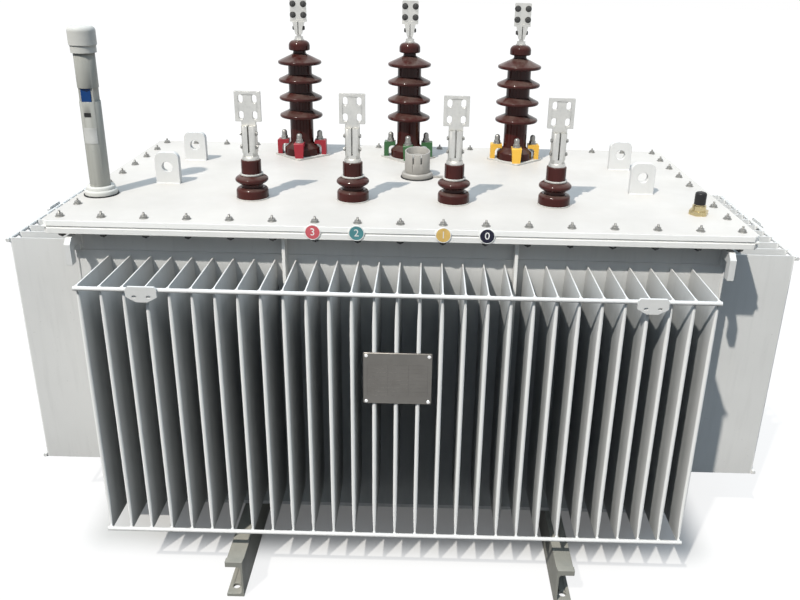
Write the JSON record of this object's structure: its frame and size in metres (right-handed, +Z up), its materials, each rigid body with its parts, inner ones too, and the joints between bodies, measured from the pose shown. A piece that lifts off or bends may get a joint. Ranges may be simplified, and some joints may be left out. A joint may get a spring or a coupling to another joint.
{
  "type": "power transformer",
  "caption": "Oil-filled three-phase power transformer with a finned tank on channel skids, a bolted cover, porcelain bushings and an oil level tube.",
  "frame": {"origin": "centre of the footprint, on the floor under the skids", "axes": "+X to the right along the long side, +Y to the high-voltage side at the back, +Z up"},
  "size_m": [2.018, 1.226, 1.385],
  "materials": {
    "tank_paint": "light grey satin paint, dusty",
    "cover_paint": "off-white satin paint",
    "skid_paint": "grey paint, dusty",
    "gasket_rubber": "matte",
    "seat_ring": "pale grey rubber",
    "porcelain": "dark brown glaze",
    "red_paint": "red paint",
    "green_paint": "green paint",
    "yellow_paint": "yellow paint",
    "tinned_metal": "tinned, dull",
    "gauge_cap_paint": "off-white satin paint",
    "gauge_glass": "blue window",
    "valve_metal": "cast aluminium",
    "plug_brass": "machined brass",
    "plug_cap_plastic": "black"
  },
  "bodies": {
    "root": {"tank_floor": "tank_paint", "front_wall": "tank_paint", "back_wall": "tank_paint", "left_wall": "tank_paint", "right_wall": "tank_paint", "front_fins": "tank_paint", "back_fins": "tank_paint", "left_fins": "tank_paint", "right_fins": "tank_paint", "front_fin_bars": "tank_paint", "back_fin_bars": "tank_paint", "left_fin_bars": "tank_paint", "right_fin_bars": "tank_paint", "tie_down_ears": "tank_paint", "wall_ribs": "tank_paint", "lifting_hooks": "tank_paint", "flange_long_bars": "tank_paint", "flange_short_bars": "tank_paint", "cover": "cover_paint", "cover_lugs": "cover_paint", "gauge_base": "cover_paint", "gauge_tube": "cover_paint", "skid_left": "skid_paint", "skid_right": "skid_paint", "cover_gasket": "gasket_rubber", "hv_bases": "seat_ring", "lv_bases": "seat_ring", "hv_porcelains": "porcelain", "lv_porcelains": "porcelain", "hv_clamps_red": "red_paint", "hv_clamps_green": "green_paint", "hv_clamps_yellow": "yellow_paint", "hv_caps": "tinned_metal", "hv_terminals": "tinned_metal", "lv_nuts": "tinned_metal", "lv_clamps": "tinned_metal", "lv_flags": "tinned_metal", "gauge_cap": "gauge_cap_paint", "gauge_window": "gauge_glass", "relief_valve": "valve_metal", "relief_valve_hood": "valve_metal", "plug_body": "plug_brass", "plug_cap": "plug_cap_plastic"}
  },
  "joints": []
}
